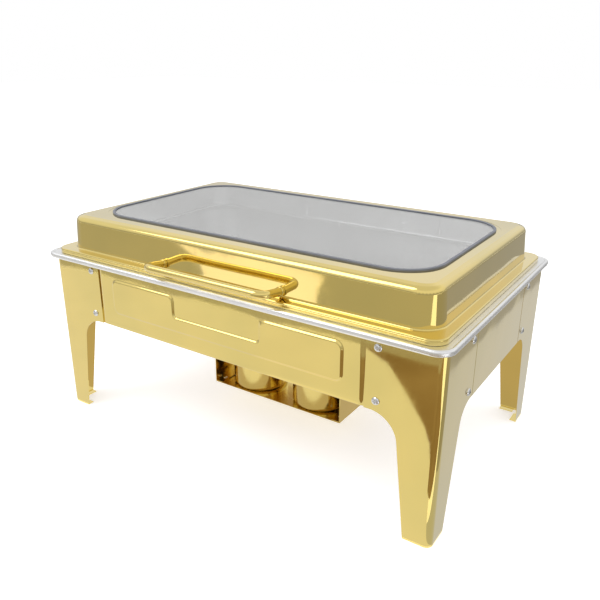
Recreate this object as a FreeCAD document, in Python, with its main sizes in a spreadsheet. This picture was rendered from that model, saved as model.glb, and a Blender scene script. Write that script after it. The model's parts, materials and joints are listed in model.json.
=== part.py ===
"""Rectangular chafing dish with a rear-hinged glass-window lid, on a knock-down sheet-metal stand.

Millimetres. +X runs along the front to the right, +Y to the rear, +Z up. The origin lies on the
floor, under the middle of the stand. Every separate piece of the object is one node in parts/.
"""
import FreeCAD, Part
import math
import os
import re
import Sketcher
from FreeCAD import Placement, Rotation, Vector

DIMENSIONS = {
    # stand
    "frame_width": 550,
    "frame_depth": 328,
    "frame_top": 223,
    "stand_sheet": 1,
    "bend_radius": 8,
    "apron_bottom": 139,
    "leg_plate": 82.5,
    "leg_foot_front": 31,
    "leg_knee_front": 48,
    "leg_foot_side": 33,
    "leg_knee_side": 57,
    "leg_curve_front": 32,
    "leg_curve_side": 25,
    "foot_lip": 8,
    "foot_lip_start": 12,
    "seam_gap": 0.6,
    "joggle": 1.1,
    "apron_tab": 24,
    "apron_top_lip": 6,
    "apron_bottom_lip": 12,
    # raised field of the front apron, with a notch in the middle of its top edge
    "field_half_width": 168,
    "field_bottom": 158,
    "field_top": 205,
    "field_depth": 1.8,
    "field_corner": 10,
    "notch_half_width": 62,
    "notch_bottom": 178,
    "notch_corner": 8,
    # leg screws and nuts, M4
    "screw_from_corner": 69.5,
    "screw_high": 208,
    "screw_low": 150,
    "screw_shank": 2,
    "screw_hole": 2.1,
    "screw_head": 4.3,
    "screw_head_height": 2.4,
    "screw_length": 7,
    "screw_recess": 1.1,
    "nut_flats": 7,
    "nut_height": 3.2,
    "nut_bore": 2.05,
    # water pan
    "pan_sheet": 0.8,
    "rim_width": 562,
    "rim_depth": 352,
    "rim_corner": 19,
    "rim_roll": 5.6,
    "rim_height": 7,
    "rim_low": 218.1,
    "well_width": 514,
    "well_depth": 309,
    "well_corner": 56,
    "well_floor": 143,
    "well_floor_round": 12,
    # food pan, full gastronorm size
    "food_rim_width": 530,
    "food_rim_depth": 325,
    "food_rim_corner": 15,
    "food_rim_sheet": 0.9,
    "food_width": 505,
    "food_depth": 300,
    "food_corner": 52,
    "food_deep": 65,
    "food_taper": 4,
    "food_floor_round": 14,
    # lid
    "lid_sheet": 1,
    "lid_bottom": 224.1,
    "flange_width": 540,
    "flange_depth": 332,
    "flange_top": 230,
    "flange_corner": 17,
    "flange_edge_round": 1.6,
    "dome_width": 516,
    "dome_depth": 307,
    "dome_corner": 26,
    "dome_top": 272.5,
    "dome_taper": 4,
    "shoulder_drop": 2.6,
    "shoulder_taper": 75,
    "dome_edge_round": 7.5,
    "dome_base_round": 1.8,
    "window_step": 7.5,
    "window_step_depth": 0.4,
    "opening_width": 464,
    "opening_depth": 242,
    "opening_corner": 47.5,
    # window: seal and glass
    "seal_overlap": 1.5,
    "seal_inner": 2,
    "seal_top": 274.2,
    "seal_low": 267.7,
    "seal_round": 0.6,
    "seal_wall": 0.8,
    "glass_low": 269.1,
    "glass_sheet": 4,
    "glass_edge_round": 1.2,
    # lid handle
    "handle_half_span": 84.5,
    "handle_height": 237,
    "handle_reach": 186,
    "handle_rod": 4.6,
    "handle_bend": 12,
    "handle_root": 146,
    "handle_rise": 8,
    "collar_radius": 5.6,
    "collar_length": 4,
    "handle_nut_flats": 14,
    "handle_nut_height": 4,
    # lid hinges
    "hinge_x": 82,
    "hinge_y": 185.78,
    "hinge_z": 227.4,
    "hinge_half_width": 12,
    "hinge_knuckle": 4.5,
    "hinge_middle": 5.8,
    "hinge_side": 6.2,
    "hinge_bore": 2.05,
    "hinge_pin": 2,
    "pin_head": 3.2,
    "pin_head_height": 1.2,
    "leaf_sheet": 1.5,
    "leaf_top": 251,
    "base_low": 219.8,
    "base_sheet": 1.6,
    "hinge_rivet_low": 237.3,
    "hinge_rivet_high": 245.6,
    "hinge_rivet": 1.9,
    "hinge_rivet_head": 3.2,
    # burner tray and what it hangs from
    "tray_half_width": 102,
    "tray_half_depth": 51,
    "tray_low": 31,
    "tray_sheet": 1,
    "hanger_foot": 12,
    "rail_gap": 1.9,
    "hanger_top": 140.4,
    "rail_height": 10,
    "rail_foot": 10,
    "rail_web_end": 148,
    "tray_rivet": 1.6,
    "tray_rivet_head": 3,
    "tray_rivet_from_middle": 38,
    "rail_rivet_from_middle": 36,
    # fuel holders
    "cup_x": 50,
    "cup_y": -12.5,
    "cup_radius": 38,
    "cup_sheet": 1,
    "cup_height": 52,
    "cup_bottom_round": 6,
    "ring_hole": 20,
    "ring_sheet": 1.2,
    "ring_lip": 6,
    "cover_radius": 23.5,
    "cover_sheet": 1.2,
    "cover_pivot_reach": 26.5,
    "cover_ear": 5,
    "pivot_radius": 1.5,
    "pivot_head": 2.8,
    "knob_radius": 5,
    "knob_height": 9,
}

doc = FreeCAD.newDocument("chafer")
sheet = doc.addObject("Spreadsheet::Sheet", "Sizes")
for row, (alias, size) in enumerate(DIMENSIONS.items(), start=1):
    sheet.set(f"A{row}", alias)
    sheet.set(f"B{row}", str(size))
    sheet.setAlias(f"B{row}", alias)
doc.recompute()

nodes = []


# ---------------------------------------------------------------- helpers

def cell(text):
    """Expression text with each size's name pointed at the sheet."""
    def named(word):
        return "Sizes." + word.group(0) if word.group(0) in DIMENSIONS else word.group(0)

    return re.sub(r"[a-z_]+", named, str(text))


def number(text):
    """Present value of an expression in the sheet's sizes."""
    return float(sheet.evalExpression(str(text)))


def bind(thing, name, text):
    thing.setExpression(name, cell(text))


def keep(piece, label):
    """Give a finished piece its node name."""
    piece.Label = label
    nodes.append(piece)
    return piece


def new_body(label, exported=True):
    body = doc.addObject("PartDesign::Body", label)
    if exported:
        keep(body, label)
    return body


def new_sketch(body, plane, offset="0"):
    """Sketch on one of the body's origin planes, moved along the plane's normal by offset."""
    sketch = body.newObject("Sketcher::SketchObject", "Sketch")
    support = [part for part in body.Origin.OriginFeatures if part.Role == plane + "_Plane"][0]
    sketch.AttachmentSupport = [(support, "")]
    sketch.MapMode = "FlatFace"
    bind(sketch, ".AttachmentOffset.Base.z", offset)
    return sketch


def pin(sketch, shape, point, x, y):
    """Hold one point of a sketch at x, y."""
    for kind, place in (("DistanceX", x), ("DistanceY", y)):
        index = sketch.addConstraint(Sketcher.Constraint(kind, -1, 1, shape, point, number(place)))
        bind(sketch, f"Constraints[{index}]", place)


def polygon(sketch, points):
    """Closed outline with straight sides through points, each a pair of expressions."""
    first = sketch.GeometryCount
    spots = [Vector(number(x), number(y), 0) for x, y in points]
    for start, end in zip(spots, spots[1:] + spots[:1]):
        sketch.addGeometry(Part.LineSegment(start, end))
    for index, (x, y) in enumerate(points):
        before = first + (index - 1) % len(points)
        sketch.addConstraint(Sketcher.Constraint("Coincident", before, 2, first + index, 1))
        pin(sketch, first + index, 1, x, y)


def rectangle(sketch, x_low, y_low, x_high, y_high):
    polygon(sketch, [(x_low, y_low), (x_high, y_low), (x_high, y_high), (x_low, y_high)])


def circle(sketch, x, y, radius):
    index = sketch.addGeometry(Part.Circle(Vector(number(x), number(y), 0), Vector(0, 0, 1), number(radius)))
    pin(sketch, index, 3, x, y)
    size = sketch.addConstraint(Sketcher.Constraint("Radius", index, number(radius)))
    bind(sketch, f"Constraints[{size}]", radius)


def rounded_rectangle(sketch, width, depth, radius):
    """Rectangle about the sketch's origin with round corners, as four arcs joined by tangent lines."""
    first = sketch.GeometryCount
    half_width, half_depth, round_size = number(width) / 2, number(depth) / 2, number(radius)
    corners = [(1, -1), (1, 1), (-1, 1), (-1, -1)]
    for quarter, (side_x, side_y) in enumerate(corners):
        centre = Vector(side_x * (half_width - round_size), side_y * (half_depth - round_size), 0)
        start = (quarter - 1) * math.pi / 2
        arc = Part.ArcOfCircle(Part.Circle(centre, Vector(0, 0, 1), round_size), start, start + math.pi / 2)
        sketch.addGeometry(arc)
    for quarter in range(4):
        start = sketch.Geometry[first + quarter].EndPoint
        end = sketch.Geometry[first + (quarter + 1) % 4].StartPoint
        sketch.addGeometry(Part.LineSegment(start, end))
    for quarter, (side_x, side_y) in enumerate(corners):
        arc, line, after = first + quarter, first + 4 + quarter, first + (quarter + 1) % 4
        sketch.addConstraint(Sketcher.Constraint("Tangent", arc, 2, line, 1))
        sketch.addConstraint(Sketcher.Constraint("Tangent", line, 2, after, 1))
        pin(sketch, arc, 3, f"{side_x} * (({width}) / 2 - ({radius}))", f"{side_y} * (({depth}) / 2 - ({radius}))")
        size = sketch.addConstraint(Sketcher.Constraint("Radius", arc, round_size))
        bind(sketch, f"Constraints[{size}]", radius)


def pad(body, sketch, length, reverse=False, both=False, taper=None):
    feature = body.newObject("PartDesign::Pad", "Pad")
    feature.Profile = sketch
    feature.Reversed = reverse
    feature.SideType = "Symmetric" if both else "One side"
    bind(feature, "Length", length)
    if taper is not None:
        bind(feature, "TaperAngle", taper)
    body.Tip = feature
    return feature


def pocket(body, sketch, length=None, reverse=False, taper=None):
    """Cut to a length, or right through both ways; a cut that removes nothing is an error."""
    doc.recompute()
    before = body.Shape.Volume
    feature = body.newObject("PartDesign::Pocket", "Pocket")
    feature.Profile = sketch
    feature.Reversed = reverse
    if length is None:
        feature.SideType = "Symmetric"
        feature.Type = "ThroughAll"
    else:
        bind(feature, "Length", length)
    if taper is not None:
        bind(feature, "TaperAngle", taper)
    body.Tip = feature
    doc.recompute()
    if not body.Shape.Volume < before - 0.01:
        raise ValueError(f"a cut in {body.Label} removes nothing")
    return feature


def revolve(body, sketch, axis):
    """Full turn of a profile about the sketch's own horizontal or vertical axis."""
    feature = body.newObject("PartDesign::Revolution", "Revolution")
    feature.Profile = sketch
    feature.ReferenceAxis = (sketch, [axis])
    feature.Angle = 360
    body.Tip = feature
    return feature


def rounding(body, radius, wanted):
    """Round the edges of the body's present shape that wanted(edge) picks."""
    doc.recompute()
    base = body.Tip
    names = [f"Edge{index}" for index, edge in enumerate(base.Shape.Edges, start=1) if wanted(edge)]
    if not names:
        raise ValueError(f"no edge to round in {body.Label}")
    feature = body.newObject("PartDesign::Fillet", "Fillet")
    feature.Base = (base, names)
    bind(feature, "Radius", radius)
    body.Tip = feature
    doc.recompute()
    if "Up-to-date" not in feature.State:
        raise ValueError(f"a rounding of {body.Label} failed")
    return feature


def near(value, text):
    return abs(value - number(text)) < 0.01


def level(edge, height):
    """True for an edge that lies flat at a height."""
    return near(edge.BoundBox.ZMin, height) and near(edge.BoundBox.ZMax, height)


def upright(edge):
    return edge.BoundBox.ZLength > 0.3 and edge.BoundBox.XLength < 0.01 and edge.BoundBox.YLength < 0.01


def group(label, source, places):
    """Identical pieces as separate solids of one node: copies of a source body's shape."""
    doc.recompute()
    piece = doc.addObject("Part::Feature", label)
    copies = []
    for place in places:
        solid = source.Shape.copy()
        solid.Placement = place.multiply(solid.Placement)
        copies.append(solid)
    piece.Shape = Part.makeCompound(copies)
    return keep(piece, label)


def mirrored(label, source, normal):
    piece = doc.addObject("Part::Mirroring", label)
    piece.Source = source
    piece.Normal = normal
    return keep(piece, label)


# ---------------------------------------------------------------- stand

def build_leg():
    """Front right leg: an angle of two tapering plates with lips under the foot."""
    leg = new_body("leg_front_right")
    right, front = "frame_width / 2", "-frame_depth / 2"
    plan = new_sketch(leg, "XY")
    polygon(plan, [
        (right, front),
        (right, f"{front} + leg_plate"),
        (f"{right} - stand_sheet", f"{front} + leg_plate"),
        (f"{right} - stand_sheet", f"{front} + stand_sheet"),
        (f"{right} - leg_plate", f"{front} + stand_sheet"),
        (f"{right} - leg_plate", front),
    ])
    pad(leg, plan, "frame_top")
    rounding(leg, "bend_radius", lambda edge: upright(edge) and near(edge.BoundBox.XMax, right)
             and near(edge.BoundBox.YMin, front))
    rounding(leg, "bend_radius - stand_sheet", lambda edge: upright(edge)
             and near(edge.BoundBox.XMax, f"{right} - stand_sheet")
             and near(edge.BoundBox.YMin, f"{front} + stand_sheet"))
    views = (
        ("XZ", lambda inset: f"{right} - ({inset})", "leg_foot_front", "leg_knee_front", "leg_curve_front"),
        ("YZ", lambda inset: f"{front} + ({inset})", "leg_foot_side", "leg_knee_side", "leg_curve_side"),
    )
    for plane, across, foot, knee, curve in views:
        outline = new_sketch(leg, plane)
        beyond = across("leg_plate + leg_foot_front")
        polygon(outline, [
            (across(foot), "0"),
            (across(knee), "apron_bottom"),
            (beyond, "apron_bottom"),
            (beyond, "0"),
        ])
        pocket(leg, outline)
        low, high = ("XMin", "XMax") if plane == "XZ" else ("YMin", "YMax")
        rounding(leg, curve, lambda edge: level(edge, "apron_bottom")
                 and near(getattr(edge.BoundBox, low), across(knee))
                 and near(getattr(edge.BoundBox, high), across(knee)))
    lips = new_sketch(leg, "XY")
    inner_x, inner_y = f"{right} - stand_sheet", f"{front} + stand_sheet"
    rectangle(lips, f"{right} - leg_foot_front + 1", inner_y, f"{right} - foot_lip_start", f"{inner_y} + foot_lip")
    pad(leg, lips, "stand_sheet")
    lips = new_sketch(leg, "XY")
    rectangle(lips, f"{inner_x} - foot_lip", f"{front} + foot_lip_start", inner_x, f"{front} + leg_foot_side - 1")
    pad(leg, lips, "stand_sheet")
    for plane, across, _, _, _ in views:
        holes = new_sketch(leg, plane)
        for height in ("screw_high", "screw_low"):
            circle(holes, across("screw_from_corner"), height, "screw_hole")
        pocket(leg, holes)
    return leg


def build_legs():
    front_right = build_leg()
    front_left = mirrored("leg_front_left", front_right, Vector(1, 0, 0))
    mirrored("leg_rear_right", front_right, Vector(0, 1, 0))
    mirrored("leg_rear_left", front_left, Vector(0, 1, 0))


def build_apron(label, length, setback, turn, with_field):
    """Side of the stand between two legs. Built as a front panel with its outer face on y = 0."""
    apron = new_body(label)
    end = f"({length}) / 2 - leg_plate - seam_gap"
    tab = f"({length}) / 2 - leg_plate - seam_gap + apron_tab"
    right_side = [
        (end, "0"),
        (end, "joggle"),
        (tab, "joggle"),
        (tab, "joggle + stand_sheet"),
        (f"{end} - stand_sheet", "joggle + stand_sheet"),
        (f"{end} - stand_sheet", "stand_sheet"),
    ]
    left_side = [(f"-({x})", y) for x, y in reversed(right_side)]
    plan = new_sketch(apron, "XY", "apron_bottom")
    polygon(plan, right_side + left_side)
    pad(apron, plan, "frame_top - apron_bottom")
    rounding(apron, "joggle * 0.8", lambda edge: upright(edge) and near(edge.BoundBox.YMin, "0"))
    for low, reach in (("frame_top - stand_sheet", "apron_top_lip"), ("apron_bottom", "apron_bottom_lip")):
        lip = new_sketch(apron, "XY", low)
        rectangle(lip, f"-({end} - 2)", "stand_sheet", f"{end} - 2", f"stand_sheet + {reach}")
        pad(apron, lip, "stand_sheet")
    if with_field:
        add_field(apron)
    holes = new_sketch(apron, "XZ")
    for side in (1, -1):
        for height in ("screw_high", "screw_low"):
            circle(holes, f"{side} * (({length}) / 2 - screw_from_corner)", height, "screw_hole")
    pocket(apron, holes)
    apron.Placement = Placement(Vector(0, 0, 0), Rotation(Vector(0, 0, 1), turn))
    direction = Rotation(Vector(0, 0, 1), turn).multVec(Vector(0, -1, 0))
    bind(apron, ".Placement.Base.x", f"{round(direction.x)} * ({setback})")
    bind(apron, ".Placement.Base.y", f"{round(direction.y)} * ({setback})")


def field_outline(sketch, grow):
    """Wide field with a notch dropping from the middle of its top edge, grown outward all round."""
    right_side = [
        (f"field_half_width + {grow}", f"field_bottom - {grow}"),
        (f"field_half_width + {grow}", f"field_top + {grow}"),
        (f"notch_half_width - {grow}", f"field_top + {grow}"),
        (f"notch_half_width - {grow}", f"notch_bottom + {grow}"),
    ]
    polygon(sketch, right_side + [(f"-({x})", y) for x, y in reversed(right_side)])


def add_field(apron):
    """Press the field out: thicken in front of it, then hollow it from behind by the same depth."""
    front = new_sketch(apron, "XZ")
    field_outline(front, "0")
    pad(apron, front, "field_depth")
    behind = new_sketch(apron, "XZ", "-stand_sheet")
    field_outline(behind, "(-1 * stand_sheet)")
    pocket(apron, behind, "field_depth", reverse=True)

    def corner(edge, places):
        flat = edge.BoundBox.XLength < 0.01 and edge.BoundBox.ZLength < 0.01 and edge.BoundBox.YLength > 1
        return flat and any(near(abs(edge.BoundBox.XMin), x) and near(edge.BoundBox.ZMin, z) for x, z in places)

    for inset in ("stand_sheet", "0"):
        outer = [(f"field_half_width - {inset}", f"field_bottom + {inset}"),
                 (f"field_half_width - {inset}", f"field_top - {inset}")]
        notch = [(f"notch_half_width + {inset}", f"field_top - {inset}")]
        rounding(apron, f"field_corner - {inset}", lambda edge: corner(edge, outer))
        rounding(apron, f"notch_corner - {inset}", lambda edge: corner(edge, notch))


def build_aprons():
    build_apron("front_apron", "frame_width", "frame_depth / 2", 0, True)
    build_apron("rear_apron", "frame_width", "frame_depth / 2", 180, False)
    build_apron("right_apron", "frame_depth", "frame_width / 2", 90, False)
    build_apron("left_apron", "frame_depth", "frame_width / 2", -90, False)


def screw_places(inset):
    """Each leg screw's place: its head's seat, inset from the stand's faces, pointing outward."""
    places = []
    half_width, half_depth = number("frame_width / 2"), number("frame_depth / 2")
    from_corner = number("screw_from_corner")
    for height in (number("screw_high"), number("screw_low")):
        for side in (1, -1):
            for end in (1, -1):
                across = Vector(side * (half_width - from_corner), end * (half_depth - inset), height)
                places.append(Placement(across, Rotation(Vector(0, 0, 1), Vector(0, end, 0))))
                along = Vector(side * (half_width - inset), end * (half_depth - from_corner), height)
                places.append(Placement(along, Rotation(Vector(0, 0, 1), Vector(side, 0, 0))))
    return places


def build_leg_screws():
    """Sixteen domed cross-head screws, four to a leg, and a hexagon nut on each behind the apron."""
    screw = new_body("screw_form", exported=False)
    profile = new_sketch(screw, "XZ")
    polygon(profile, [
        ("0", "-screw_length"),
        ("screw_shank", "-screw_length"),
        ("screw_shank", "0"),
        ("screw_head", "0"),
        ("screw_head", "screw_head_height * 0.3"),
        ("screw_head * 0.82", "screw_head_height * 0.68"),
        ("screw_head * 0.5", "screw_head_height * 0.94"),
        ("0", "screw_head_height"),
    ])
    revolve(screw, profile, "V_Axis")
    for turn in (("screw_head * 0.52", "screw_head * 0.13"), ("screw_head * 0.13", "screw_head * 0.52")):
        slot = new_sketch(screw, "XY", "screw_head_height - screw_recess")
        rectangle(slot, f"-{turn[0]}", f"-{turn[1]}", *turn)
        pocket(screw, slot, "screw_recess + 1", reverse=True)
    group("leg_screws", screw, screw_places(0))

    nut = new_body("nut_form", exported=False)
    section = new_sketch(nut, "XY")
    corners = [(f"nut_flats / sqrt(3) * cos({turn})", f"nut_flats / sqrt(3) * sin({turn})")
               for turn in range(0, 360, 60)]
    polygon(section, corners)
    circle(section, "0", "0", "nut_bore")
    pad(nut, section, "nut_height", reverse=True)
    group("leg_nuts", nut, screw_places(number("joggle + stand_sheet")))


# ---------------------------------------------------------------- pans

def build_water_pan():
    """Deep pan with a flat ledge and a rolled rim that hangs just outside the stand."""
    pan = new_body("water_pan")
    ledge_top = "frame_top + pan_sheet"
    rim = new_sketch(pan, "XY", "rim_low")
    rounded_rectangle(rim, "rim_width", "rim_depth", "rim_corner")
    rounded_rectangle(rim, "rim_width - 2 * rim_roll", "rim_depth - 2 * rim_roll", "rim_corner - rim_roll")
    pad(pan, rim, "rim_height")
    rounding(pan, "rim_roll * 0.49", lambda edge: level(edge, "rim_low") or level(edge, "rim_low + rim_height"))
    ledge = new_sketch(pan, "XY", "frame_top")
    rounded_rectangle(ledge, "rim_width - rim_roll", "rim_depth - rim_roll", "rim_corner - rim_roll / 2")
    rounded_rectangle(ledge, "well_width", "well_depth", "well_corner")
    pad(pan, ledge, "pan_sheet")
    well = new_sketch(pan, "XY", "well_floor")
    rounded_rectangle(well, "well_width + 2 * pan_sheet", "well_depth + 2 * pan_sheet", "well_corner + pan_sheet")
    pad(pan, well, "frame_top - well_floor + pan_sheet / 2")
    hollow = new_sketch(pan, "XY", ledge_top)
    rounded_rectangle(hollow, "well_width", "well_depth", "well_corner")
    pocket(pan, hollow, f"{ledge_top} - well_floor - pan_sheet")
    rounding(pan, "well_floor_round - pan_sheet", lambda edge: level(edge, "well_floor + pan_sheet"))
    rounding(pan, "well_floor_round", lambda edge: level(edge, "well_floor"))


def build_food_pan():
    """Full-size gastronorm pan that hangs by its rim on the water pan's ledge."""
    pan = new_body("food_pan")
    seat = "frame_top + pan_sheet"
    rim = new_sketch(pan, "XY", seat)
    rounded_rectangle(rim, "food_rim_width", "food_rim_depth", "food_rim_corner")
    pad(pan, rim, "food_rim_sheet")
    outside = new_sketch(pan, "XY", seat)
    rounded_rectangle(outside, "food_width", "food_depth", "food_corner")
    pad(pan, outside, "food_deep", reverse=True, taper="-food_taper")
    inside = new_sketch(pan, "XY", f"{seat} + food_rim_sheet")
    rounded_rectangle(inside, "food_width - 2 * pan_sheet", "food_depth - 2 * pan_sheet", "food_corner - pan_sheet")
    pocket(pan, inside, "food_deep + food_rim_sheet - pan_sheet", taper="-food_taper")
    rounding(pan, "food_floor_round - pan_sheet", lambda edge: level(edge, f"{seat} - food_deep + pan_sheet"))
    rounding(pan, "food_floor_round", lambda edge: level(edge, f"{seat} - food_deep"))


# ---------------------------------------------------------------- lid

def build_lid_shell():
    """Drawn lid: an upright flange, a narrow ledge and a box dome, with an opening for the window."""
    lid = new_body("lid_shell")
    flange = new_sketch(lid, "XY", "lid_bottom")
    rounded_rectangle(flange, "flange_width", "flange_depth", "flange_corner")
    pad(lid, flange, "flange_top - lid_bottom")
    dome = new_sketch(lid, "XY", "flange_top")
    rounded_rectangle(dome, "dome_width", "dome_depth", "dome_corner")
    pad(lid, dome, "dome_top - shoulder_drop - flange_top", taper="-dome_taper")
    shrink = "(dome_top - shoulder_drop - flange_top) * tan(dome_taper)"
    shoulder = new_sketch(lid, "XY", "dome_top - shoulder_drop")
    rounded_rectangle(shoulder, f"dome_width - 2 * {shrink}", f"dome_depth - 2 * {shrink}", f"dome_corner - {shrink}")
    pad(lid, shoulder, "shoulder_drop", taper="-shoulder_taper")

    def on_dome_base(edge):
        middle = edge.BoundBox.Center
        inside = number("dome_width / 2") + 0.01, number("dome_depth / 2") + 0.01
        return level(edge, "flange_top") and abs(middle.x) < inside[0] and abs(middle.y) < inside[1] and (
            edge.BoundBox.XMax < inside[0] and edge.BoundBox.YMax < inside[1]
            and edge.BoundBox.XMin > -inside[0] and edge.BoundBox.YMin > -inside[1])

    rounding(lid, "dome_edge_round", lambda edge: level(edge, "dome_top - shoulder_drop"))
    rounding(lid, "dome_base_round", on_dome_base)
    rounding(lid, "flange_edge_round", lambda edge: level(edge, "flange_top")
             and (near(abs(edge.BoundBox.Center.x), "flange_width / 2")
                  or near(abs(edge.BoundBox.Center.y), "flange_depth / 2")))
    base = lid.Tip
    hollow = lid.newObject("PartDesign::Thickness", "Thickness")
    faces = [f"Face{index}" for index, face in enumerate(base.Shape.Faces, start=1)
             if near(face.BoundBox.ZMax, "lid_bottom")]
    hollow.Base = (base, faces)
    hollow.Reversed = True
    bind(hollow, "Value", "lid_sheet")
    lid.Tip = hollow
    doc.recompute()
    step = new_sketch(lid, "XY", "dome_top")
    rounded_rectangle(step, "opening_width + 2 * window_step", "opening_depth + 2 * window_step",
                      "opening_corner + window_step")
    pocket(lid, step, "window_step_depth")
    opening = new_sketch(lid, "XY", "dome_top")
    rounded_rectangle(opening, "opening_width", "opening_depth", "opening_corner")
    pocket(lid, opening, "lid_sheet * 3")
    front = new_sketch(lid, "XZ", "dome_depth / 2 - 14")
    for side in (1, -1):
        circle(front, f"{side} * handle_half_span", "handle_height", "handle_rod + 0.2")
    pocket(lid, front, "28", reverse=True)
    rear = new_sketch(lid, "XZ", "-(dome_depth / 2 - 14)")
    for side in (1, -1):
        for height in ("hinge_rivet_low", "hinge_rivet_high"):
            circle(rear, f"{side} * hinge_x", height, "hinge_rivet + 0.3")
    pocket(lid, rear, "28")


def build_window():
    """Glass pane held in the opening by a rubber seal with a groove for each."""
    seal = new_body("window_seal")
    wide, deep, corner = "opening_width", "opening_depth", "opening_corner"
    ring = new_sketch(seal, "XY", "seal_low")
    rounded_rectangle(ring, f"{wide} + 2 * seal_overlap", f"{deep} + 2 * seal_overlap", f"{corner} + seal_overlap")
    rounded_rectangle(ring, f"{wide} - 2 * seal_inner", f"{deep} - 2 * seal_inner", f"{corner} - seal_inner")
    pad(seal, ring, "seal_top - seal_low")
    rounding(seal, "seal_round", lambda edge: level(edge, "seal_top"))
    sheet_groove = new_sketch(seal, "XY", "dome_top - lid_sheet")
    rounded_rectangle(sheet_groove, f"{wide} + 4 * seal_overlap", f"{deep} + 4 * seal_overlap",
                      f"{corner} + 2 * seal_overlap")
    rounded_rectangle(sheet_groove, wide, deep, corner)
    pocket(seal, sheet_groove, "lid_sheet - window_step_depth", reverse=True)
    glass_wide, glass_deep = f"{wide} - 2 * seal_wall", f"{deep} - 2 * seal_wall"
    glass_groove = new_sketch(seal, "XY", "glass_low")
    rounded_rectangle(glass_groove, glass_wide, glass_deep, f"{corner} - seal_wall")
    pocket(seal, glass_groove, "glass_sheet", reverse=True)

    glass = new_body("window_glass")
    pane = new_sketch(glass, "XY", "glass_low")
    rounded_rectangle(pane, glass_wide, glass_deep, f"{corner} - seal_wall")
    pad(glass, pane, "glass_sheet")


def build_handle():
    """Bent rod handle on the front wall, with a collar outside and a nut inside at each end."""
    rod = new_body("handle_rod")
    path = new_sketch(rod, "XY", "handle_height")
    span, reach, root, bend = (number(name) for name in (
        "handle_half_span", "handle_reach", "handle_root", "handle_bend"))
    slant = bend * math.sqrt(0.5)
    left = [Vector(-span, -root, 0), Vector(-span, -reach + bend, 0),
            Vector(-span + bend - slant, -reach + bend - slant, 0), Vector(-span + bend, -reach, 0)]
    right = [Vector(-spot.x, spot.y, 0) for spot in left]
    path.addGeometry(Part.LineSegment(left[0], left[1]))
    path.addGeometry(Part.Arc(left[1], left[2], left[3]))
    path.addGeometry(Part.LineSegment(left[3], right[3]))
    path.addGeometry(Part.Arc(right[3], right[2], right[1]))
    path.addGeometry(Part.LineSegment(right[1], right[0]))
    section = new_sketch(rod, "XZ", "handle_root")
    circle(section, "-handle_half_span", "handle_height", "handle_rod")
    pipe = rod.newObject("PartDesign::AdditivePipe", "Pipe")
    pipe.Profile = section
    pipe.Spine = (path, [f"Edge{index}" for index in range(1, 6)])
    rod.Tip = pipe
    wall = number("dome_depth / 2") - number("handle_height - flange_top") * math.tan(
        math.radians(number("dome_taper")))
    middle = Vector(0, -wall, number("handle_height"))
    rise = math.radians(number("handle_rise"))
    rod.Placement = Placement(Vector(), Rotation(Vector(1, 0, 0), -number("handle_rise")), middle)
    outward = Vector(0, -math.cos(rise), math.sin(rise))
    facing = Rotation(Vector(0, 0, 1), outward)

    collar = new_body("collar_form", exported=False)
    outline = new_sketch(collar, "XY")
    circle(outline, "0", "0", "collar_radius")
    circle(outline, "0", "0", "handle_rod + 0.05")
    pad(collar, outline, "collar_length")
    rounding(collar, "collar_length * 0.15", lambda edge: level(edge, "collar_length")
             and edge.BoundBox.XLength > number("2 * collar_radius") - 0.1)
    group("handle_collars", collar, [Placement(
        middle + Vector(side * number("handle_half_span"), 0, 0) + outward * 0.5, facing) for side in (1, -1)])

    nut = new_body("handle_nut_form", exported=False)
    section = new_sketch(nut, "XY")
    polygon(section, [(f"handle_nut_flats / sqrt(3) * cos({turn})", f"handle_nut_flats / sqrt(3) * sin({turn})")
                      for turn in range(0, 360, 60)])
    circle(section, "0", "0", "handle_rod + 0.05")
    pad(nut, section, "handle_nut_height", reverse=True)
    inside = middle - outward * (number("lid_sheet") + 0.5)
    group("handle_nuts", nut, [Placement(
        inside + Vector(side * number("handle_half_span"), 0, 0), facing) for side in (1, -1)])


def rear_wall(height):
    """Where the outside of the lid's rear wall is at a height."""
    rise = number(height) - number("flange_top")
    return number("dome_depth / 2") - rise * math.tan(math.radians(number("dome_taper")))


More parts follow.
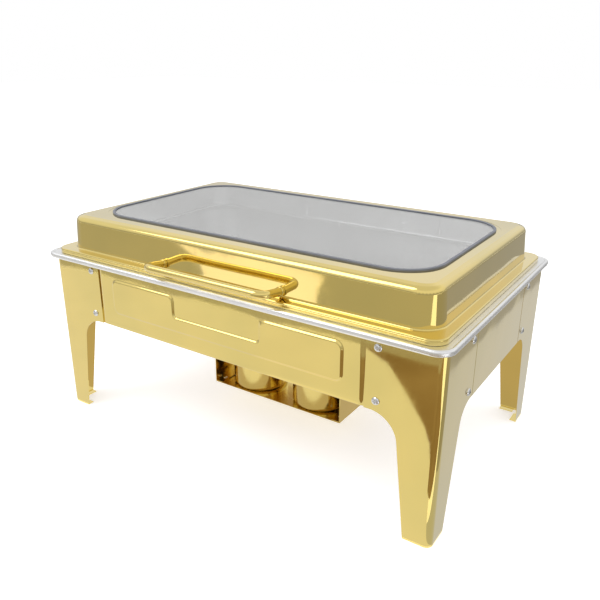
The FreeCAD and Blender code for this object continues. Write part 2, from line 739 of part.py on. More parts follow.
def build_hinges():
    """Two hinges: a leaf riveted to the lid, a base welded to the pan's rim and a headed pin in each."""
    for label, side in (("left", -1), ("right", 1)):
        leaf = new_body(f"hinge_leaf_{label}")
        profile = new_sketch(leaf, "YZ", f"{side} * hinge_x")
        circle(profile, "hinge_y", "hinge_z", "hinge_knuckle")
        pad(leaf, profile, "2 * hinge_middle", both=True)
        neck = new_sketch(leaf, "YZ", f"{side} * hinge_x")
        arm_top = "hinge_z + hinge_knuckle"
        bend = "rim_depth / 2 - rim_roll"
        rectangle(neck, bend, f"{arm_top} - leaf_sheet", "hinge_y", arm_top)
        pad(leaf, neck, "2 * hinge_middle", both=True)
        plate = new_sketch(leaf, "YZ", f"{side} * hinge_x")
        fold = "flange_top + dome_base_round + 0.2"
        foot, head = rear_wall(fold), rear_wall("leaf_top")
        polygon(plate, [
            (f"{head:.4f}", "leaf_top"),
            (f"{foot:.4f}", fold),
            (f"{foot:.4f} + 1.6 * leaf_sheet", f"{arm_top} - leaf_sheet"),
            (bend, f"{arm_top} - leaf_sheet"),
            (bend, arm_top),
            (f"{foot:.4f} + 2.2 * leaf_sheet", arm_top),
            (f"{foot:.4f} + leaf_sheet", fold),
            (f"{head:.4f} + leaf_sheet", "leaf_top"),
        ])
        pad(leaf, plate, "2 * hinge_half_width", both=True)
        bore = new_sketch(leaf, "YZ", f"{side} * hinge_x")
        circle(bore, "hinge_y", "hinge_z", "hinge_bore")
        pocket(leaf, bore)
        holes = new_sketch(leaf, "XZ", f"-{head:.4f} + leaf_sheet")
        for height in ("hinge_rivet_low", "hinge_rivet_high"):
            circle(holes, f"{side} * hinge_x", height, "hinge_rivet + 0.3")
        pocket(leaf, holes)

        base = new_body(f"hinge_base_{label}")
        back = "rim_depth / 2"
        for start, end in (("-hinge_half_width", "-hinge_side"), ("hinge_side", "hinge_half_width")):
            lug = new_sketch(base, "YZ", f"{side} * hinge_x + {start}")
            circle(lug, "hinge_y", "hinge_z", "hinge_knuckle")
            pad(base, lug, f"{end} - ({start})")
            web = new_sketch(base, "YZ", f"{side} * hinge_x + {start}")
            rectangle(web, back, "hinge_z - hinge_knuckle", "hinge_y", "hinge_z")
            pad(base, web, f"{end} - ({start})")
        plate = new_sketch(base, "YZ", f"{side} * hinge_x")
        rectangle(plate, back, "base_low", f"{back} + base_sheet", "hinge_z - hinge_knuckle + 1")
        pad(base, plate, "2 * hinge_half_width", both=True)
        bore = new_sketch(base, "YZ", f"{side} * hinge_x")
        circle(bore, "hinge_y", "hinge_z", "hinge_bore")
        pocket(base, bore)

        pin_body = new_body(f"hinge_pin_{label}")
        shank = new_sketch(pin_body, "YZ", f"{side} * hinge_x")
        circle(shank, "hinge_y", "hinge_z", "hinge_pin")
        pad(pin_body, shank, "2 * hinge_half_width + 1", both=True)
        for outward in (1, -1):
            head_sketch = new_sketch(pin_body, "YZ", f"{side} * hinge_x + {outward} * (hinge_half_width + 0.2)")
            circle(head_sketch, "hinge_y", "hinge_z", "pin_head")
            pad(pin_body, head_sketch, "pin_head_height", reverse=outward < 0)

    rivet = new_body("hinge_rivet_form", exported=False)
    profile = new_sketch(rivet, "XZ")
    thick = "leaf_sheet + lid_sheet"
    polygon(profile, [
        ("0", f"-({thick}) - 1.6"),
        ("hinge_rivet_head * 0.6", f"-({thick}) - 1.3"),
        ("hinge_rivet_head", f"-({thick}) - 0.2"),
        ("hinge_rivet_head", f"-({thick})"),
        ("hinge_rivet", f"-({thick})"),
        ("hinge_rivet", "0"),
        ("hinge_rivet_head", "0"),
        ("hinge_rivet_head * 0.85", "0.7"),
        ("hinge_rivet_head * 0.4", "1.2"),
        ("0", "1.3"),
    ])
    revolve(rivet, profile, "V_Axis")
    tilt = math.radians(number("dome_taper"))
    outward = Rotation(Vector(0, 0, 1), Vector(0, math.cos(tilt), math.sin(tilt)))
    places = []
    for side in (1, -1):
        for height in ("hinge_rivet_low", "hinge_rivet_high"):
            seat = rear_wall(height) + number("leaf_sheet") / math.cos(tilt)
            places.append(Placement(Vector(side * number("hinge_x"), seat, number(height)), outward))
    group("hinge_rivets", rivet, places)


# ---------------------------------------------------------------- burner tray and fuel holders

def build_tray():
    """Floor sheet hung from two rails that lie on the aprons' bottom lips."""
    floor = new_body("burner_tray")
    plan = new_sketch(floor, "XY", "tray_low")
    rectangle(plan, "-tray_half_width + tray_sheet", "-tray_half_depth", "tray_half_width - tray_sheet",
              "tray_half_depth")
    pad(floor, plan, "tray_sheet")
    holes = new_sketch(floor, "XY", "tray_low")
    for side in (1, -1):
        for end in (1, -1):
            circle(holes, f"{side} * (tray_half_width - hanger_foot / 2)", f"{end} * tray_rivet_from_middle",
                   "tray_rivet + 0.1")
    pocket(floor, holes)

    for label, side in (("left", -1), ("right", 1)):
        hanger = new_body(f"tray_hanger_{label}")
        wall = new_sketch(hanger, "XZ")
        outer, inner = f"{side} * tray_half_width", f"{side} * (tray_half_width - tray_sheet)"
        foot_end = f"{side} * (tray_half_width - hanger_foot)"
        points = [
            (outer, "tray_low"),
            (outer, "hanger_top"),
            (inner, "hanger_top"),
            (inner, "tray_low + 2 * tray_sheet"),
            (foot_end, "tray_low + 2 * tray_sheet"),
            (foot_end, "tray_low + tray_sheet"),
            (inner, "tray_low + tray_sheet"),
            (inner, "tray_low"),
        ]
        polygon(wall, points)
        pad(hanger, wall, "2 * tray_half_depth", both=True)
        holes = new_sketch(hanger, "XY", "tray_low")
        for end in (1, -1):
            circle(holes, f"{side} * (tray_half_width - hanger_foot / 2)", f"{end} * tray_rivet_from_middle",
                   "tray_rivet + 0.1")
        pocket(hanger, holes)
        holes = new_sketch(hanger, "YZ")
        for end in (1, -1):
            circle(holes, f"{end} * rail_rivet_from_middle", "apron_bottom + stand_sheet - rail_height / 2",
                   "tray_rivet + 0.1")
        pocket(hanger, holes)

        rail = new_body(f"tray_rail_{label}")
        section = new_sketch(rail, "XZ")
        low = "apron_bottom + stand_sheet"
        web_in, web_out = f"{side} * tray_half_width", f"{side} * (tray_half_width + tray_sheet)"
        polygon(section, [
            (web_in, f"{low} + tray_sheet"),
            (f"{side} * (tray_half_width + rail_foot)", f"{low} + tray_sheet"),
            (f"{side} * (tray_half_width + rail_foot)", low),
            (web_out, low),
            (web_out, f"{low} - rail_height"),
            (web_in, f"{low} - rail_height"),
        ])
        pad(rail, section, "frame_depth - 2 * stand_sheet - 2 * rail_gap", both=True)
        for end in (1, -1):
            notch = new_sketch(rail, "XZ", f"{end} * frame_depth / 2")
            polygon(notch, [
                (f"{side} * (tray_half_width - 1)", low),
                (f"{side} * (tray_half_width + 2)", low),
                (f"{side} * (tray_half_width + 2)", f"{low} - rail_height - 1"),
                (f"{side} * (tray_half_width - 1)", f"{low} - rail_height - 1"),
            ])
            pocket(rail, notch, "frame_depth / 2 - rail_web_end", reverse=end < 0)
        holes = new_sketch(rail, "YZ")
        for end in (1, -1):
            circle(holes, f"{end} * rail_rivet_from_middle", f"{low} - rail_height / 2", "tray_rivet + 0.1")
        pocket(rail, holes)

    rivet = new_body("tray_rivet_form", exported=False)
    profile = new_sketch(rivet, "XZ")
    thick = "2 * tray_sheet"
    polygon(profile, [
        ("0", f"-{thick} - 1"),
        ("tray_rivet_head * 0.7", f"-{thick} - 0.8"),
        ("tray_rivet_head", f"-{thick}"),
        ("tray_rivet", f"-{thick}"),
        ("tray_rivet", "0"),
        ("tray_rivet_head", "0"),
        ("tray_rivet_head * 0.8", "0.8"),
        ("tray_rivet_head * 0.4", "1.2"),
        ("0", "1.3"),
    ])
    revolve(rivet, profile, "V_Axis")
    floor_places, rail_places = [], []
    for side in (1, -1):
        inward = Rotation(Vector(0, 0, 1), Vector(-side, 0, 0))
        for end in (1, -1):
            floor_places.append(Placement(Vector(
                side * number("tray_half_width - hanger_foot / 2"), end * number("tray_rivet_from_middle"),
                number("tray_low + 2 * tray_sheet")), Rotation()))
            rail_places.append(Placement(Vector(
                side * number("tray_half_width - tray_sheet"), end * number("rail_rivet_from_middle"),
                number("apron_bottom + stand_sheet - rail_height / 2")), inward))
    group("tray_floor_rivets", rivet, floor_places)
    group("tray_rail_rivets", rivet, rail_places)


def build_fuel_holder(label, side):
    """Open cup with a pressed-in ring, and a swivelling cover with a knob on a rivet at the rear."""
    x, y = f"{side} * cup_x", "cup_y"
    floor = "tray_low + tray_sheet"
    top = f"{floor} + cup_height"
    cup = new_body(f"fuel_cup_{label}")
    base = new_sketch(cup, "XY", floor)
    circle(base, x, y, "cup_radius")
    pad(cup, base, "cup_height")
    hollow = new_sketch(cup, "XY", top)
    circle(hollow, x, y, "cup_radius - cup_sheet")
    pocket(cup, hollow, "cup_height - cup_sheet")
    rounding(cup, "cup_bottom_round - cup_sheet", lambda edge: level(edge, f"{floor} + cup_sheet"))
    rounding(cup, "cup_bottom_round", lambda edge: level(edge, floor))

    ring = new_body(f"cup_ring_{label}")
    disc = new_sketch(ring, "XY", top)
    circle(disc, x, y, "cup_radius")
    circle(disc, x, y, "ring_hole")
    pad(ring, disc, "ring_sheet")
    skirt = new_sketch(ring, "XY", top)
    circle(skirt, x, y, "cup_radius - cup_sheet - 0.05")
    circle(skirt, x, y, "cup_radius - 2 * cup_sheet")
    pad(ring, skirt, "ring_lip", reverse=True)
    pivot_y = f"{y} + cover_pivot_reach"
    hole = new_sketch(ring, "XY", top)
    circle(hole, x, pivot_y, "pivot_radius")
    pocket(ring, hole)

    seat = f"{top} + ring_sheet"
    cover = new_body(f"flame_cover_{label}")
    plate = new_sketch(cover, "XY", f"{seat} + 0.1")
    circle(plate, x, y, "cover_radius")
    pad(cover, plate, "cover_sheet")
    ear = new_sketch(cover, "XY", f"{seat} + 0.1")
    circle(ear, x, pivot_y, "cover_ear")
    pad(cover, ear, "cover_sheet")
    hole = new_sketch(cover, "XY", f"{seat} + 0.1")
    circle(hole, x, pivot_y, "pivot_radius + 0.05")
    pocket(cover, hole)

    knob = new_body(f"cover_knob_{label}")
    profile = new_sketch(knob, "XY", f"{seat} + 0.1 + cover_sheet")
    circle(profile, x, y, "knob_radius * 0.6")
    pad(knob, profile, "knob_height * 0.4")
    profile = new_sketch(knob, "XY", f"{seat} + 0.1 + cover_sheet + knob_height * 0.4")
    circle(profile, x, y, "knob_radius")
    pad(knob, profile, "knob_height * 0.6")
    rounding(knob, "knob_height * 0.2", lambda edge: level(edge, f"{seat} + 0.1 + cover_sheet + knob_height"))

    pivot = new_body(f"cover_pivot_{label}")
    shank = new_sketch(pivot, "XY", f"{top} - 0.8")
    circle(shank, x, pivot_y, "pivot_radius")
    pad(pivot, shank, "0.8 + ring_sheet + cover_sheet + 0.3")
    head = new_sketch(pivot, "XY", f"{seat} + cover_sheet + 0.2")
    circle(head, x, pivot_y, "pivot_head")
    pad(pivot, head, "1")
    head = new_sketch(pivot, "XY", top)
    circle(head, x, pivot_y, "pivot_head")
    pad(pivot, head, "0.8", reverse=True)


# ---------------------------------------------------------------- build, check and write

def check_and_write():
    doc.recompute()
    for item in doc.Objects:
        bad = [state for state in item.State if state in ("Invalid", "Error")]
        if bad:
            raise ValueError(f"{item.Label}: {bad}")
    os.makedirs("parts", exist_ok=True)
    for piece in nodes:
        shape = piece.Shape
        if shape.isNull() or not shape.isValid():
            raise ValueError(f"{piece.Label}: bad shape")
        shape.exportStep(f"parts/{piece.Label}.step")
        print(f"{piece.Label:22s} solids {len(shape.Solids):2d}  volume {shape.Volume:10.1f}")


build_legs()
build_aprons()
build_leg_screws()
build_water_pan()
build_food_pan()
build_lid_shell()
build_window()
build_handle()
build_hinges()
build_tray()
build_fuel_holder("left", -1)
build_fuel_holder("right", 1)
check_and_write()
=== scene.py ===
"""Looks for the rectangular chafing dish: materials, the pressed front apron, studio and camera."""

import json
import math

import bmesh
import bpy
from mathutils import Matrix, Vector


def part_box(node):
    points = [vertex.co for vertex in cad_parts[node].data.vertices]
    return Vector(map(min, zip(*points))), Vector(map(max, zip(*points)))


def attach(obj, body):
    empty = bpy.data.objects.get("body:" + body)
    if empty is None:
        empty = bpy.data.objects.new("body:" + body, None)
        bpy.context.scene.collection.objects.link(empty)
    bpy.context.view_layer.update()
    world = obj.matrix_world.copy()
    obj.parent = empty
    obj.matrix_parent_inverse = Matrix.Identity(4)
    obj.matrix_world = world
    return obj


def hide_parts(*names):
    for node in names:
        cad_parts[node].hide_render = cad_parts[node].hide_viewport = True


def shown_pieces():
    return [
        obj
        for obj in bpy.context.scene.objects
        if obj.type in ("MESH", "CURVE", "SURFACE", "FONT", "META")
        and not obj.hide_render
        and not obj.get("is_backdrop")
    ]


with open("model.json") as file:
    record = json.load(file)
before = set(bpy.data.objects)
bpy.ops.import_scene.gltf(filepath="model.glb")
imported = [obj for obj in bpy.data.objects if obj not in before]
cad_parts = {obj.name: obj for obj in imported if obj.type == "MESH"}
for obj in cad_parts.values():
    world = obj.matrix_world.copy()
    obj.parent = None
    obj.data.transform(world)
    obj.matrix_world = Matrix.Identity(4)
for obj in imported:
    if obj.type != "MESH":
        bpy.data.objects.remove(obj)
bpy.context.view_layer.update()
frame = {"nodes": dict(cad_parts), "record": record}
nodes = frame["nodes"]

# ---------------------------------------------------------------- node helpers


class Shader:
    """A material's node tree, with short names for what is used most."""

    def __init__(self, name):
        self.material = bpy.data.materials.new(name)
        self.material.use_nodes = True
        self.tree = self.material.node_tree
        self.tree.nodes.clear()
        self.output = self.add("ShaderNodeOutputMaterial")
        self.coords = None

    def add(self, kind, **settings):
        node = self.tree.nodes.new(kind)
        for name, value in settings.items():
            setattr(node, name, value)
        return node

    def put(self, target, value):
        if isinstance(value, bpy.types.NodeSocket):
            self.tree.links.new(value, target)
        else:
            target.default_value = value

    def place(self):
        if self.coords is None:
            self.coords = self.add("ShaderNodeTexCoord")
        return self.coords.outputs["Object"]

    def total(self, first, second):
        node = self.add("ShaderNodeMath", operation="ADD")
        self.put(node.inputs[0], first)
        self.put(node.inputs[1], second)
        return node.outputs[0]

    def stretched(self, scale):
        node = self.add("ShaderNodeMapping")
        self.put(node.inputs["Vector"], self.place())
        node.inputs["Scale"].default_value = scale
        return node.outputs[0]

    def noise(self, scale, detail=3.0, roughness=0.55, place=None):
        node = self.add("ShaderNodeTexNoise")
        self.put(node.inputs["Vector"], place or self.place())
        node.inputs["Scale"].default_value = scale
        node.inputs["Detail"].default_value = detail
        node.inputs["Roughness"].default_value = roughness
        return node.outputs["Fac"]

    def spread(self, value, low, high, out_low=0.0, out_high=1.0):
        node = self.add("ShaderNodeMapRange")
        self.put(node.inputs["Value"], value)
        limits = {"From Min": low, "From Max": high, "To Min": out_low, "To Max": out_high}
        for name, number in limits.items():
            node.inputs[name].default_value = number
        return node.outputs["Result"]

    def mix(self, factor, first, second):
        node = self.add("ShaderNodeMix", data_type="RGBA")
        self.put(node.inputs[0], factor)
        for socket, value in ((node.inputs[6], first), (node.inputs[7], second)):
            self.put(socket, (*value, 1.0) if isinstance(value, tuple) else value)
        return node.outputs[2]

    def bump(self, height, strength, distance):
        node = self.add("ShaderNodeBump")
        self.put(node.inputs["Height"], height)
        node.inputs["Strength"].default_value = strength
        node.inputs["Distance"].default_value = distance
        return node.outputs[0]

    def principled(self, **inputs):
        node = self.add("ShaderNodeBsdfPrincipled")
        for name, value in inputs.items():
            if isinstance(value, tuple) and len(value) == 3:
                value = (*value, 1.0)
            self.put(node.inputs[name.replace("_", " ")], value)
        self.tree.links.new(node.outputs[0], self.output.inputs["Surface"])
        return self.material


def gold(name, ripple=0.5, rough=0.05):
    """Mirror-polished gold-coloured plating on thin sheet, which is never quite flat."""
    s = Shader(name)
    patches = s.noise(9.0, 2.0)
    colour = s.mix(s.spread(patches, 0.35, 0.65), (0.78, 0.60, 0.165), (0.71, 0.56, 0.155))
    haze = s.noise(140.0, 4.0, 0.65)
    smear = s.noise(30.0, 3.0, 0.6, s.stretched((1.0, 1.0, 0.35)))
    roughness = s.total(s.spread(haze, 0.3, 0.75, rough * 0.7, rough * 1.5),
                        s.spread(smear, 0.52, 0.78, 0.0, rough * 0.8))
    waves = s.noise(14.0, 1.5, 0.4)
    normal = s.bump(waves, ripple, 0.0012)
    return s.principled(Base_Color=colour, Metallic=1.0, Roughness=roughness, Normal=normal,
                        Coat_Weight=0.9, Coat_IOR=1.7, Coat_Roughness=rough)


def steel(name, tone=0.66, rough=0.22, grain=(900.0, 14.0, 14.0)):
    """Stainless sheet with a fine drawn grain."""
    s = Shader(name)
    lines = s.noise(1.0, 3.0, 0.6, s.stretched(grain))
    cloud = s.noise(22.0, 3.0, 0.6)
    bright, dull = (tone, tone, tone * 1.01), (tone * 0.9, tone * 0.905, tone * 0.92)
    colour = s.mix(s.spread(cloud, 0.3, 0.7), bright, dull)
    roughness = s.total(s.spread(lines, 0.3, 0.7, rough * 0.75, rough * 1.2),
                        s.spread(cloud, 0.3, 0.7, 0.0, rough * 0.25))
    return s.principled(Base_Color=colour, Metallic=1.0, Roughness=roughness,
                        Normal=s.bump(lines, 0.04, 0.0001))


def rubber(name):
    s = Shader(name)
    grain = s.noise(900.0, 2.0)
    colour = s.mix(s.spread(s.noise(40.0), 0.3, 0.7), (0.15, 0.16, 0.19), (0.19, 0.20, 0.23))
    return s.principled(Base_Color=colour, Roughness=s.spread(grain, 0.3, 0.7, 0.42, 0.6),
                        Normal=s.bump(grain, 0.15, 0.0001))


def glass(name):
    s = Shader(name)
    smudge = s.noise(16.0, 4.0, 0.6)
    return s.principled(Base_Color=(0.95, 0.955, 0.95), Transmission_Weight=1.0, IOR=1.5, Coat_Weight=1.0,
                        Coat_IOR=1.5, Coat_Roughness=0.02, Roughness=s.spread(smudge, 0.45, 0.8, 0.0, 0.05))


gold_sheet = gold("gold_sheet")
gold_rod = gold("gold_rod", ripple=0.1, rough=0.06)
gold_cup = gold("gold_cup", ripple=0.2, rough=0.13)
pan_steel = steel("pan_steel", 0.82, 0.2, (300.0, 8.0, 8.0))
rim_steel = steel("rim_steel", 0.9, 0.3, (14.0, 900.0, 900.0))
bright_steel = steel("bright_steel", 0.75, 0.16, (60.0, 60.0, 60.0))
rivet_steel = steel("rivet_steel", 0.95, 0.14, (60.0, 60.0, 60.0))
seal_rubber = rubber("seal_rubber")
window_glass = glass("window_glass")

LOOKS = {
    "gold_steel": gold_sheet,
    "gold_fittings": gold_rod,
    "pan_steel": pan_steel,
    "fastener_steel": bright_steel,
    "seal_rubber": seal_rubber,
    "window_glass": window_glass,
}
slot_of = {part["node"]: part["material_slot"] for part in frame["record"]["subparts"]}
for name, piece in nodes.items():
    piece.data.materials.clear()
    piece.data.materials.append(LOOKS[slot_of[name]])
nodes["water_pan"].data.materials[0] = rim_steel
nodes["hinge_rivets"].data.materials[0] = rivet_steel
for name in ("fuel_cup_left", "fuel_cup_right", "cup_ring_left", "cup_ring_right", "burner_tray",
             "tray_hanger_left", "tray_hanger_right"):
    nodes[name].data.materials[0] = gold_cup

# the lid is plated outside only: inside faces look at its middle
lid = nodes["lid_shell"]
lid.data.materials.append(pan_steel)
low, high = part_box("lid_shell")
middle = Vector(((low.x + high.x) / 2, (low.y + high.y) / 2, low.z - 0.1))
for face in lid.data.polygons:
    out = face.center - middle
    inside = face.normal.dot(Vector((out.x, out.y, max(out.z, 0.0)))) < 0 and face.normal.z < 0.999
    face.material_index = 1 if inside else 0

# ---------------------------------------------------------------- front apron


def fine_steps(stops, zones, fine, coarse):
    """Rising positions from the first stop to the last, close together inside the zones."""
    places = [stops[0]]
    while places[-1] < stops[1] - 1e-6:
        here = places[-1]
        inside = any(low - 1e-6 <= here < high - 1e-6 for low, high in zones)
        ahead = [low - here for low, _ in zones if low > here + 1e-6]
        step = fine if inside else min([coarse, *ahead])
        places.append(min(here + step, stops[1]))
    return places


def rounded_box(x, z, half_width, half_height, radius):
    """Signed distance to a rounded rectangle centred on the origin, negative inside."""
    dx, dz = abs(x) - half_width + radius, abs(z) - half_height + radius
    return math.hypot(max(dx, 0.0), max(dz, 0.0)) + min(max(dx, dz), 0.0) - radius


def soft_max(a, b, radius):
    blend = max(radius - abs(a - b), 0.0)
    return max(a, b) + blend * blend * 0.25 / radius


def ease(t):
    t = min(max(t, 0.0), 1.0)
    return t * t * (3.0 - 2.0 * t)


def pressed_apron():
    """Front apron as pressed sheet: sloped walls round its raised field, rolled edges, joggled end tabs."""
    low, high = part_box("front_apron")
    raised, sheet, bend = 0.0018, 0.001, 0.0014
    front, top, bottom = low.y + raised, high.z, low.z
    tab, joggle, joggle_start, joggle_run = 0.024, 0.0011, 0.0055, 0.006
    end = high.x - tab
    bottom_lip, top_lip = 0.012, 0.006
    field_half_width, field_low, field_high, field_corner = 0.168, 0.158, 0.205, 0.010
    notch_half_width, notch_low, notch_high, notch_corner = 0.062, 0.178, 0.238, 0.004
    lobe_corner, wall_run = 0.009, 0.0030
    fine, coarse = 0.00035, 0.006

    def depth(x, z):
        field = rounded_box(x, z - (field_low + field_high) / 2,
                            field_half_width, (field_high - field_low) / 2, field_corner)
        notch = rounded_box(x, z - (notch_low + notch_high) / 2,
                            notch_half_width, (notch_high - notch_low) / 2, notch_corner)
        inside = ease(-soft_max(field, -notch, lobe_corner) / wall_run)
        return joggle * ease((abs(x) - end + joggle_start) / joggle_run) - raised * inside

    half = fine_steps((0.0, high.x), ((0.0575, 0.0745), (0.1575, 0.1690), (end - 0.006, end + 0.001)),
                      fine, coarse)
    columns = [-x for x in reversed(half[1:])] + half
    middle = fine_steps((bottom + bend, top - bend), ((0.1570, 0.1685), (0.1730, 0.1825), (0.1935, 0.2060)),
                        fine, coarse)
    # each row: its height, how far it lies behind the face, and whether it runs out over the end tabs
    arc = [math.radians(turn) for turn in (22.5, 45, 67.5, 90)]
    rows = [(bottom, sheet + bottom_lip, False)]
    rows += [(bottom + bend - bend * math.sin(t), bend - bend * math.cos(t), True) for t in reversed(arc)]
    rows += [(z, 0.0, True) for z in middle]
    rows += [(top - bend + bend * math.sin(t), bend - bend * math.cos(t), True) for t in arc]
    rows += [(top, sheet + top_lip, False)]
    mesh = bmesh.new()
    grid = [[mesh.verts.new((x, front + depth(x, z) + back, z)) for x in columns] for z, back, _ in rows]
    for i in range(len(rows) - 1):
        for j in range(len(columns) - 1):
            lip = not (rows[i][2] and rows[i + 1][2])
            if lip and max(abs(columns[j]), abs(columns[j + 1])) > end - 0.002:
                continue
            mesh.faces.new((grid[i][j], grid[i][j + 1], grid[i + 1][j + 1], grid[i + 1][j]))
    loose = [v for v in mesh.verts if not v.link_faces]
    bmesh.ops.delete(mesh, geom=loose, context="VERTS")
    data = bpy.data.meshes.new("pressed_front_apron")
    mesh.to_mesh(data)
    mesh.free()
    piece = bpy.data.objects.new("pressed_front_apron", data)
    bpy.context.scene.collection.objects.link(piece)
    shell = piece.modifiers.new("sheet_thickness", "SOLIDIFY")
    shell.thickness = sheet
    shell.offset = -1.0
    data.materials.append(gold_sheet)
    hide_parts("front_apron")
    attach(piece, "stand")


pressed_apron()

# ---------------------------------------------------------------- studio


def flat_mesh(name, corners, faces, material):
    mesh = bpy.data.meshes.new(name)
    mesh.from_pydata(corners, [], faces)
    mesh.materials.append(material)
    thing = bpy.data.objects.new(name, mesh)
    bpy.context.scene.collection.objects.link(thing)
    thing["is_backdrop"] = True
    return thing


def only_in_reflections(thing):
    thing.visible_camera = False
    thing.visible_diffuse = False
    thing.visible_shadow = False
    thing.visible_transmission = False
    thing.visible_volume_scatter = False


def rectangle(left, front, right, back):
    return [(left, front), (right, front), (right, back), (left, back)]


FLOOR_HALF = 9.0
floor_look = Shader("floor_paper")
floor_look.principled(Base_Color=(0.88, 0.88, 0.88), Roughness=0.9, Specular_IOR_Level=0.1,
                      Emission_Color=(1.0, 1.0, 1.0), Emission_Strength=0.5)
flat_mesh("floor", [(x, y, 0) for x, y in rectangle(-FLOOR_HALF, -FLOOR_HALF, FLOOR_HALF, FLOOR_HALF)],
          [(0, 1, 2, 3)], floor_look.material)


def glow(name, build):
    s = Shader(name)
    emission = s.add("ShaderNodeEmission")
    colour, strength = build(s)
    s.put(emission.inputs["Color"], colour)
    s.put(emission.inputs["Strength"], strength)
    s.tree.links.new(emission.outputs[0], s.output.inputs["Surface"])
    return s.material


def floor_card(name, outline, height, build):
    """Flat glowing patch seen only in the reflections of the polished faces: studio floor, and in places
    painted light and painted shade.
    """
    only_in_reflections(flat_mesh(name, [(x, y, height) for x, y in outline], [tuple(range(len(outline)))],
                                  glow(name + "_glow", build)))


def even(colour, strength):
    return lambda s: ((*colour, 1.0), strength)


def paper(s):
    cloud = s.noise(3.0, 3.0)
    return (1.0, 0.985, 0.95, 1.0), s.spread(cloud, 0.3, 0.7, 0.92, 1.04)


def brown(s):
    cloud = s.noise(5.0, 3.0)
    return s.mix(s.spread(cloud, 0.35, 0.65), (0.30, 0.20, 0.10), (0.40, 0.29, 0.17)), 1.0


# the paper the dish stands on ends ahead of it and to its right; the grey floor goes on past it
PAPER_LEFT, PAPER_FRONT, PAPER_RIGHT, PAPER_BACK = -1.2, -0.555, 0.2753, 1.3
FAR = 6.0
STRIP_RIGHT, STRIP_FRONT = 0.405, -0.2
floor_card("paper_near", rectangle(PAPER_LEFT, PAPER_FRONT, PAPER_RIGHT, PAPER_BACK), 0.002, paper)
floor_card("floor_ahead", rectangle(-FAR, -FAR, FAR, PAPER_FRONT), 0.003, even((1.0, 0.97, 0.86), 0.55))
floor_card("floor_left", rectangle(-FAR, PAPER_FRONT, PAPER_LEFT, FAR), 0.003, even((1.0, 0.98, 0.92), 0.5))
floor_card("floor_behind", rectangle(PAPER_LEFT, PAPER_BACK, PAPER_RIGHT, FAR), 0.003,
           even((1.0, 0.98, 0.94), 0.5))
# painted light: close ahead of the dish, a brighter glowing patch standing in for a pool of light, which the
# fuel cups and the lower edge of the apron pick up as highlights
floor_card("painted_light_pool", rectangle(-0.052, -0.33, 0.13, -0.175), 0.003, even((1.0, 0.97, 0.9), 1.1))
# painted shade: a dim warm card standing in for the floor in the dish's shade, seen only in reflections
floor_card("painted_shade_under_dish", rectangle(-0.27, -0.13, 0.27, 0.163), 0.0025, even((1.0, 0.86, 0.66), 0.62))
floor_card("strip_right", rectangle(PAPER_RIGHT, STRIP_FRONT, STRIP_RIGHT, FAR), 0.001,
           even((0.98, 0.985, 1.0), 0.66))
floor_card("floor_right", rectangle(STRIP_RIGHT, STRIP_FRONT, FAR, FAR), 0.001, even((1.0, 0.98, 0.93), 0.4))
# painted shade: a dim brownish card standing in for the shaded bay above the fuel cups, seen only in
# reflections
floor_card("bay_shade", rectangle(-0.22, -0.15, 0.22, 0.15), 0.1365, even((0.5, 0.33, 0.19), 0.8))
# a lit panel and a dark card ahead of the dish, mirrored in the dome and in the front right leg
BRIGHT_OUTLINE = [(-1.096, -1.24), (-0.975, -1.16), (-0.855, -1.081), (-0.7, -0.93), (-0.6, -0.72),
                  (-0.24, -0.72), (-0.318, -0.908), (-0.413, -1.061), (-0.463, -1.168), (-0.57, -1.244)]
DARK_OUTLINE = [(-0.02, -0.56), (0.02, -0.537), (0.05, -0.52), (0.098, -0.467), (0.138, -0.422),
                (0.18, -0.371), (0.2, -0.341), (0.216, -0.303), (0.24, -0.252), (0.3, -0.232),
                (0.5, -0.232), (0.6, -0.6), (0.1, -0.75)]
floor_card("bright_panel", BRIGHT_OUTLINE, 0.006, even((1.0, 0.93, 0.97), 1.5))
floor_card("dark_card", DARK_OUTLINE, 0.003, brown)


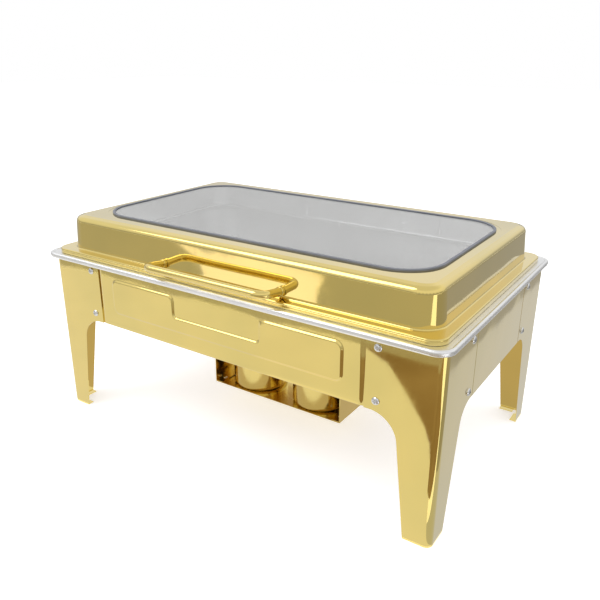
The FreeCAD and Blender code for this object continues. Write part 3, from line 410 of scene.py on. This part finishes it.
def build_world():
    world = bpy.data.worlds.new("studio")
    bpy.context.scene.world = world
    world.use_nodes = True
    tree = world.node_tree
    tree.nodes.clear()

    def add(kind, **settings):
        node = tree.nodes.new(kind)
        for key, value in settings.items():
            setattr(node, key, value)
        return node

    out, path, coords = add("ShaderNodeOutputWorld"), add("ShaderNodeLightPath"), add("ShaderNodeTexCoord")
    split = add("ShaderNodeSeparateXYZ")
    tree.links.new(coords.outputs["Generated"], split.inputs[0])
    ramp = add("ShaderNodeValToRGB")
    height = add("ShaderNodeMapRange")
    tree.links.new(split.outputs[2], height.inputs["Value"])
    height.inputs["From Min"].default_value = -1.0
    tree.links.new(height.outputs["Result"], ramp.inputs[0])
    # brightness from straight down, 0, over the horizon, 0.5, to straight up, 1
    stops = [(0.0, 0.45), (0.5, 0.42), (0.56, 0.55), (0.64, 0.9), (0.8, 1.0), (0.93, 0.8)]
    while len(ramp.color_ramp.elements) < len(stops):
        ramp.color_ramp.elements.new(0.5)
    for element, (where, value) in zip(ramp.color_ramp.elements, stops):
        element.position = where
        element.color = (value, value, value * 0.99, 1.0)

    def backdrop(strength):
        shade = add("ShaderNodeBackground")
        shade.inputs["Strength"].default_value = strength
        shade.inputs["Color"].default_value = (1.0, 1.0, 1.0, 1.0)
        return shade

    reflected, diffuse, seen = backdrop(1.0), backdrop(1.12), backdrop(1.0)
    tree.links.new(ramp.outputs[0], reflected.inputs["Color"])
    first, second = add("ShaderNodeMixShader"), add("ShaderNodeMixShader")
    tree.links.new(path.outputs["Is Diffuse Ray"], first.inputs[0])
    tree.links.new(reflected.outputs[0], first.inputs[1])
    tree.links.new(diffuse.outputs[0], first.inputs[2])
    tree.links.new(path.outputs["Is Camera Ray"], second.inputs[0])
    tree.links.new(first.outputs[0], second.inputs[1])
    tree.links.new(seen.outputs[0], second.inputs[2])
    tree.links.new(second.outputs[0], out.inputs["Surface"])


build_world()


def key_light(where, aim, side, power):
    lamp = bpy.data.lights.new("key_light", "AREA")
    lamp.shape = "RECTANGLE"
    lamp.size = lamp.size_y = side
    lamp.energy = power
    thing = bpy.data.objects.new("key_light", lamp)
    thing.location = where
    thing.rotation_euler = (Vector(aim) - Vector(where)).to_track_quat("-Z", "Y").to_euler()
    bpy.context.scene.collection.objects.link(thing)


key_light(where=(-1.1, -1.2, 2.1), aim=(0, 0, 0.15), side=1.4, power=16)

# ---------------------------------------------------------------- camera

CAMERA_PLACE = Vector((0.45463, -0.67664, 0.47192))
CAMERA_RIGHT = Vector((0.83290446, 0.55339111, 0.00533325))
CAMERA_UP = Vector((-0.20143269, 0.29417063, 0.93428503))
camera_data = bpy.data.cameras.new("camera")
camera_data.sensor_width = 36.0
camera_data.lens = 39.04
camera_data.clip_start = 0.02
camera = bpy.data.objects.new("camera", camera_data)
turn = Matrix((CAMERA_RIGHT, CAMERA_UP, CAMERA_RIGHT.cross(CAMERA_UP))).transposed()
camera.matrix_world = Matrix.Translation(CAMERA_PLACE) @ turn.to_4x4()
bpy.context.scene.collection.objects.link(camera)
bpy.context.scene.camera = camera
view = bpy.context.scene.view_settings
view.view_transform = "Standard"
view.look = "None"

# round faces shade smoothly, and edges sharper than this stay crisp
SHARP_DEGREES = 28
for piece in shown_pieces():
    for face in piece.data.polygons:
        face.use_smooth = True
    crisp = piece.modifiers.new("sharp_edges", "EDGE_SPLIT")
    crisp.split_angle = math.radians(SHARP_DEGREES)
